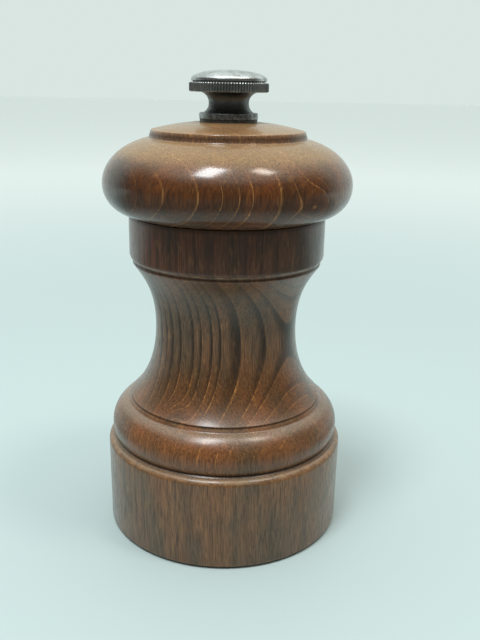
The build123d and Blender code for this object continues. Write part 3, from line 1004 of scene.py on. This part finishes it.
def knobOutline(p):
    domeFoot = p.domeFloor + p.domeEdge
    edge = p.footEdge
    points = [(0.0, p.boreTop), (p.boreR, p.boreTop), (p.boreR, p.floor),
              (p.footR - edge, p.floor), (p.footR, p.floor + edge),
              (p.footR, p.footTop - edge), (p.footR - edge, p.footTop)]
    down, up = p.neckPulls
    pullOut, pullDown = p.flarePull
    points += curvePoints((p.flareLow, p.footTop), (p.neckR, p.footTop + p.footPull),
                          (p.neckR, p.neckZ - down), (p.neckR, p.neckZ), 12)
    points += curvePoints((p.neckR, p.neckZ), (p.neckR, p.neckZ + up),
                          (p.neckR + pullOut, p.rimFloor - pullDown),
                          (p.flareHigh, p.rimFloor), 14)[1:]
    rimIn = p.rimR - p.rimChamfer
    points += [(rimIn, p.rimFloor), (p.rimR, p.rimFloor + p.rimEdge),
               (p.rimR, (p.rimFloor + p.rimTop) / 2),
               (p.rimR, p.rimTop - p.rimEdge), (rimIn, p.rimTop)]
    points += [(p.grooveR, p.rimTop), (p.grooveR, p.domeFloor - p.lip),
               (p.domeR, p.domeFloor)]
    points += [(p.domeR * cos(t), domeFoot + (p.top - domeFoot) * sin(t))
               for t in (radians(90 * i / 28) for i in range(29))]
    return points


def makeKnob(p):
    def onRim(r, z):
        return 1.0 if r > p.rimR - 0.01 else 0.0

    source = outlineObject(knobOutline(p), knurl=onRim)
    mesh = runTree(source, latheTree, {"Segments": p.segments, "Knurls": p.knurls,
                   "Knurl Depth": p.knurlDepth * mm, "Material": knobSteel})
    addPiece(mesh, "knurled_knob", "knob", "knob")


makeKnob(Named(**knobPlan))
print("stage: knob")


# the shaft: peened end, square bar, threaded end

shaftPlan = {
    "rivetR": 3.9, "rivetFloor": 5.22, "rivetEdge": 5.8, "rivetTop": 6.4,
    "shoulderR": 3.5, "half": 2.5, "cornerR": 3.45, "rows": (34.0, 61.0), "squareTop": 88.2,
    "threadR": 2.45, "threadDepth": 0.4, "threadFloor": 88.8, "threadTop": 97.0, "pitch": 0.8,
    "step": 0.1, "runOut": 0.4, "endChamfer": 0.3,
    "segments": 96,
}


def makeShaft(p):
    core = p.threadR - p.threadDepth
    points = [(p.rivetR * sin(t), p.rivetEdge - (p.rivetEdge - p.rivetFloor) * cos(t))
              for t in (radians(9 * i) for i in range(11))]
    points += [(p.rivetR, p.rivetTop), (p.shoulderR, p.rivetTop)]
    points += [(p.half, z) for z in (p.rivetTop, *p.rows, p.squareTop)]
    points += [(p.threadR, p.squareTop), (core, p.squareTop + p.step), (core, p.threadFloor)]
    rows = int((p.threadTop - p.runOut - p.threadFloor) / (p.pitch / 10))
    points += [(p.threadR, p.threadFloor + p.step + i * p.pitch / 10) for i in range(rows)]
    points += [(p.threadR - p.endChamfer, p.threadTop), (0.0, p.threadTop)]

    def square(r, z):
        return 1.0 if abs(r - p.half) < 1e-6 else 0.0

    def thread(r, z):
        return p.threadDepth * mm if z > p.threadFloor and r > p.threadR - 0.01 else 0.0

    source = outlineObject(points, square=square, thread=thread)
    mesh = runTree(source, latheTree, {"Segments": p.segments, "Thread Pitch": p.pitch * mm,
                   "Square Half": p.half * mm, "Corner Radius": p.cornerR * mm,
                   "Material": steel["shaftSteel"]})
    addPiece(mesh, "threaded_shaft", "spindle", "shaft")


makeShaft(Named(**shaftPlan))
print("stage: shaft")


# slotted wood screws in the retaining plate

screwPlan = {
    "headR": 2.18, "headEdge": (0.08, 0.06), "headT": 1.0, "neck": 0.6,
    "shankR": 1.15, "coreR": 0.8, "tipR": 0.713, "length": 6.9, "taper": 1.6, "point": 0.8, "pitch": 0.9,
    "count": 3, "circleR": 14.4, "face": 6.0,
    "slotWidth": 0.6, "slotDepth": 0.5, "slotTurn": 0.5, "segments": 40,
}


def screwMesh(p):
    threadFloor = p.headT + p.neck
    threadTop = p.length - p.taper
    step = p.pitch / 10
    edgeIn, edgeDown = p.headEdge
    points = [(0.0, 0.0), (p.headR - edgeIn, 0.0), (p.headR, edgeDown), (p.shankR, p.headT),
              (p.shankR, threadFloor)]
    rows = int((threadTop - threadFloor) / step)
    points += [(p.shankR, threadFloor + (i + 1) * step) for i in range(rows)]
    points += [(p.tipR, p.length - p.point), (0.0, p.length)]

    def thread(r, z):
        return (p.shankR - p.coreR) * mm if threadFloor < z < threadTop else 0.0

    source = outlineObject(points, thread=thread)
    return runTree(source, latheTree, {"Segments": p.segments, "Thread Pitch": p.pitch * mm,
                                       "Material": steel["screwSteel"]})


def makeScrews(p):
    single = screwMesh(p)
    faceOutward(single)
    mesh = runTree(addObject("screw", single), screwTree, {
        "Count": p.count, "Circle Radius": p.circleR * mm, "Height": p.face * mm,
        "Slot Width": p.slotWidth * mm, "Slot Depth": p.slotDepth * mm,
        "Slot Turn": p.slotTurn, "Material": steel["screwSteel"]})
    addPiece(mesh, "plate_screws", "body", "retaining_screws")


makeScrews(Named(**screwPlan))
print("stage: screws")


# the spring between the inner burr and its washer

springPlan = {"radius": 4.7, "wire": 1.0, "turns": 4.5, "closed": 1.0, "bottom": 17.3, "top": 24.4,
              "points": 260, "squeezed": 1.2}


def makeSpring(p):
    data = bpy.data.curves.new("spring", "CURVE")
    data.dimensions = "3D"
    line = data.splines.new("POLY")
    line.points.add(p.points - 1)
    for i, point in enumerate(line.points):
        point.co = (i * mm, 0, 0, 1)
    mesh = runTree(addObject("spring", data), coilTree, {
        "Radius": p.radius * mm, "Wire": p.wire * mm, "Turns": p.turns,
        "Closed Turns": p.closed, "Bottom": p.bottom * mm, "Top": p.top * mm,
        "Material": steel["springSteel"]})
    piece = addPiece(mesh, "coil_spring", "spring_seat", "spring")
    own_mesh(piece)


makeSpring(Named(**springPlan))
print("stage: spring")


# pieces that keep their CAD shape get their finishes

finishes = {
    "burrSteel": ("burr_ring", "inner_burr"),
    "zincPlate": ("burr_washer", "spring_washer", "bridge", "retaining_plate", "drive_plate"),
    "screwSteel": ("drive_plate_screws",),
    "washerSteel": ("knob_washer",),
}
for name, nodes in finishes.items():
    for node in nodes:
        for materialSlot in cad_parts[node].material_slots:
            materialSlot.material = steel[name]
print("stage: finishes")


# floor, light and world

stagePlan = {
    "floorHalf": 4.0,
    "floorNear": (0.445, 0.535, 0.530),
    "floorFar": (0.80, 0.85, 0.825),
    "fadeFrom": 0.12,  # m from the mill, where the floor starts to brighten
    "fadeTo": 0.75,
    "darkFrom": 0.14,  # m, where the floor starts to be dark in reflections, towards the near side
    "darkTo": 0.02,
    "lamps": [
        # name, place in m, size in m, watts, colour
        ("ceilingLeft", (-0.140, -0.225, 0.74), (0.16, 0.30), 3.6, (0.93, 0.98, 1.0)),
        ("ceilingRight", (0.262, -0.125, 0.72), (0.12, 0.16), 1.1, (1.0, 0.92, 0.80)),
    ],
    "aim": (0.0, 0.0, 0.06),
    "mirrorFrom": 0.055,  # m from the mill's axis, where the floor starts to be dark in reflections
    "mirrorTo": 0.13,
    "mirrorDark": 0.85,
    "floorRough": 0.6,
    "wall": (0.69, 0.785, 0.75),
    "ceiling": (1.10, 1.18, 1.18),
    "front": (0.075, 0.068, 0.062),
    # where each part of the room starts and is full, as a part of the direction looked in
    "ceilingFrom": (0.35, 0.9),
    "litFront": (0.0, 0.7),
    "mirroredFront": (-0.55, -0.10),
    "frontTop": (0.55, 0.85),
    "strength": 1.0,
}


def makeFloor(plan):
    # the floor's colour is painted brighter away from the mill, making up for the lamps' light falling off,
    # so that it meets the wall without a line
    material = bpy.data.materials.new("floor")
    material.use_nodes = True
    tree = material.node_tree
    shader = tree.nodes["Principled BSDF"]
    shader.inputs["Roughness"].default_value = plan.floorRough
    place = addNode(tree, "ShaderNodeTexCoord").outputs["Object"]
    away = vectorMath("LENGTH", place, output="Value")
    fade = mapRange(away, plan.fadeFrom, plan.fadeTo)
    color = mixColor(fade, plan.floorNear, plan.floorFar)
    # polished pieces mirror the near side of the floor as dark as the room there
    mirrored = addNode(tree, "ShaderNodeLightPath").outputs["Is Glossy Ray"]
    dark = times(mapRange(split(place)[1], plan.darkFrom, plan.darkTo),
                 mapRange(away, plan.mirrorFrom, plan.mirrorTo), mirrored, plan.mirrorDark)
    color = mixColor(dark, color, plan.front)
    tree.links.new(color, shader.inputs["Base Color"])
    half = plan.floorHalf
    mesh = bpy.data.meshes.new("floor")
    corners = [(-half, -half, 0), (half, -half, 0), (half, half, 0), (-half, half, 0)]
    mesh.from_pydata(corners, [], [(0, 1, 2, 3)])
    mesh.materials.append(material)
    addObject("floor", mesh)


def makeLamps(plan):
    for name, place, size, watts, color in plan.lamps:
        data = bpy.data.lights.new(name, "AREA")
        data.shape = "RECTANGLE"
        data.size, data.size_y = size
        data.energy = watts
        data.color = color
        lamp = addObject(name, data)
        lamp.location = place
        aim = Vector(plan.aim) - Vector(place)
        lamp.rotation_euler = aim.to_track_quat("-Z", "Y").to_euler()


def makeWorld(plan):
    # a pale room that is darker on the side the mill is seen from
    world = bpy.data.worlds.new("room")
    bpy.context.scene.world = world
    world.use_nodes = True
    tree = world.node_tree
    direction = addNode(tree, "ShaderNodeTexCoord").outputs["Generated"]
    _, depth, up = split(direction)
    color = mixColor(mapRange(up, *plan.ceilingFrom), plan.wall, plan.ceiling)
    near = times(depth, -1.0)
    rays = addNode(tree, "ShaderNodeLightPath").outputs
    mirrored = times(mapRange(near, *plan.mirroredFront), rays["Is Glossy Ray"])
    nearSide = calc("MAXIMUM", mapRange(near, *plan.litFront), mirrored)
    low = mapRange(up, *plan.frontTop, 1.0, 0.0)
    # seen directly, the room is pale on every side
    unseen = minus(1.0, rays["Is Camera Ray"])
    color = mixColor(times(nearSide, low, unseen), color, plan.front)
    background = tree.nodes["Background"]
    tree.links.new(color, background.inputs["Color"])
    background.inputs["Strength"].default_value = plan.strength


for makePart in (makeFloor, makeLamps, makeWorld):
    makePart(Named(**stagePlan))
print("stage: floor and light")
